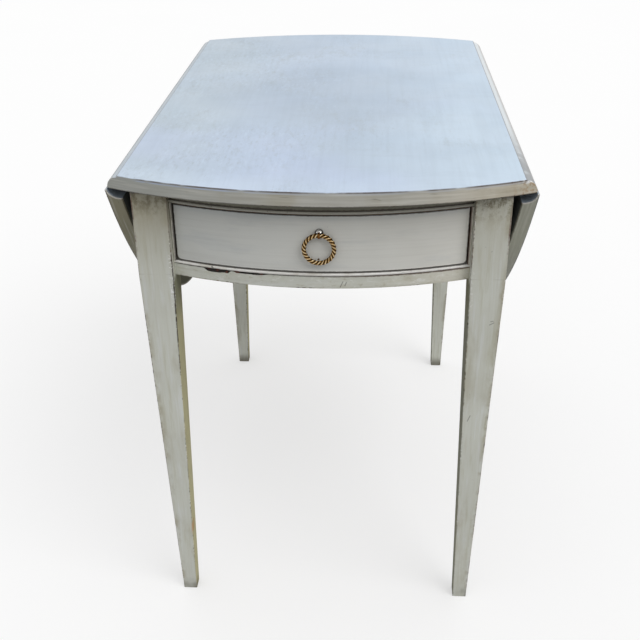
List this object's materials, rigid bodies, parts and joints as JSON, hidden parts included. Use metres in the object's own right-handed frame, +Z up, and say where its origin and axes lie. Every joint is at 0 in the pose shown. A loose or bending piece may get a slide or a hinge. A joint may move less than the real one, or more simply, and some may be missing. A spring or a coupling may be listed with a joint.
{
  "type": "drop leaf table",
  "caption": "Oval drop leaf table with tapered square legs, a bow-fronted drawer with a rope-twist ring pull, and leaves hung on rule joints over fly brackets.",
  "frame": {"origin": "on the floor, under the middle of the table", "axes": "+Z up, +Y along the length towards the back, the drawer faces -Y, leaves hang at +X and -X"},
  "size_m": [0.5428, 0.848, 0.711],
  "materials": {
    "painted_top": "antique-glazed grey-white paint, satin, rubbed at the edges",
    "painted_frame": "antique-glazed grey-white paint, satin, rubbed at the edges",
    "painted_drawer": "antique-glazed grey-white paint, smooth satin",
    "painted_bead": "antique-glazed paint with dark glaze left in the corners",
    "bare_wood": "unfinished, darkened with age",
    "aged_brass": "antique, dark in the recesses",
    "hinge_iron": "wrought plate, darkened",
    "fixing_steel": "dull, slightly rusted"
  },
  "bodies": {
    "table": {"top_board": "painted_top", "leg_front_left": "painted_frame", "leg_front_right": "painted_frame", "leg_back_left": "painted_frame", "leg_back_right": "painted_frame", "side_rail_left": "painted_frame", "side_rail_right": "painted_frame", "fly_rail_front_left": "painted_frame", "fly_rail_front_right": "painted_frame", "fly_rail_back_left": "painted_frame", "fly_rail_back_right": "painted_frame", "fly_pin_left": "fixing_steel", "fly_pin_right": "fixing_steel", "back_rail": "painted_frame", "front_upper_rail": "painted_frame", "front_lower_rail": "painted_frame", "bead_top": "painted_bead", "bead_bottom": "painted_bead", "bead_left": "painted_bead", "bead_right": "painted_bead", "drawer_runner_left": "bare_wood", "drawer_runner_right": "bare_wood", "drawer_guide_left": "bare_wood", "drawer_guide_right": "bare_wood", "drawer_kicker_left": "bare_wood", "drawer_kicker_right": "bare_wood", "drawer_stops": "bare_wood", "top_screws": "fixing_steel", "fly_rail_screws": "fixing_steel", "hinge_top_plate_left_front": "hinge_iron", "hinge_top_plate_left_back": "hinge_iron", "hinge_top_plate_right_front": "hinge_iron", "hinge_top_plate_right_back": "hinge_iron", "hinge_pin_left_front": "fixing_steel", "hinge_pin_left_back": "fixing_steel", "hinge_pin_right_front": "fixing_steel", "hinge_pin_right_back": "fixing_steel", "hinge_top_screws_left": "fixing_steel", "hinge_top_screws_right": "fixing_steel"},
    "drawer": {"drawer_front": "painted_drawer", "drawer_side_left": "bare_wood", "drawer_side_right": "bare_wood", "drawer_back": "bare_wood", "drawer_bottom": "bare_wood", "drawer_nails": "fixing_steel", "pull_post": "aged_brass", "pull_nut": "aged_brass"},
    "ring": {"pull_ring": "aged_brass"},
    "left_leaf": {"leaf_left": "painted_top", "hinge_leaf_plate_left_front": "hinge_iron", "hinge_leaf_plate_left_back": "hinge_iron", "hinge_leaf_screws_left": "fixing_steel"},
    "left_fly": {"fly_left": "painted_frame"},
    "right_leaf": {"leaf_right": "painted_top", "hinge_leaf_plate_right_front": "hinge_iron", "hinge_leaf_plate_right_back": "hinge_iron", "hinge_leaf_screws_right": "fixing_steel"},
    "right_fly": {"fly_right": "painted_frame"}
  },
  "joints": [
    {"name": "drawer_slide", "type": "slide", "parent": "table", "child": "drawer", "axis": [0, -1, 0], "range_m": [0, 0.4]},
    {"name": "ring_swing", "type": "hinge", "parent": "drawer", "child": "ring", "pos_m": [0, -0.4, 0.6452], "axis": [-1, 0, 0], "range_deg": [0, 95]},
    {"name": "left_leaf_hinge", "type": "hinge", "parent": "table", "child": "left_leaf", "pos_m": [-0.254, 0, 0.6935], "axis": [0, 1, 0], "range_deg": [-2, 93.8]},
    {"name": "right_leaf_hinge", "type": "hinge", "parent": "table", "child": "right_leaf", "pos_m": [0.254, 0, 0.6935], "axis": [0, -1, 0], "range_deg": [-2, 93.8]},
    {"name": "left_fly_swing", "type": "hinge", "parent": "table", "child": "left_fly", "pos_m": [-0.222, -0.02, 0.63], "axis": [0, 0, 1], "range_deg": [0, 3.5]},
    {"name": "right_fly_swing", "type": "hinge", "parent": "table", "child": "right_fly", "pos_m": [0.222, -0.02, 0.63], "axis": [0, 0, -1], "range_deg": [0, 3.5]}
  ]
}
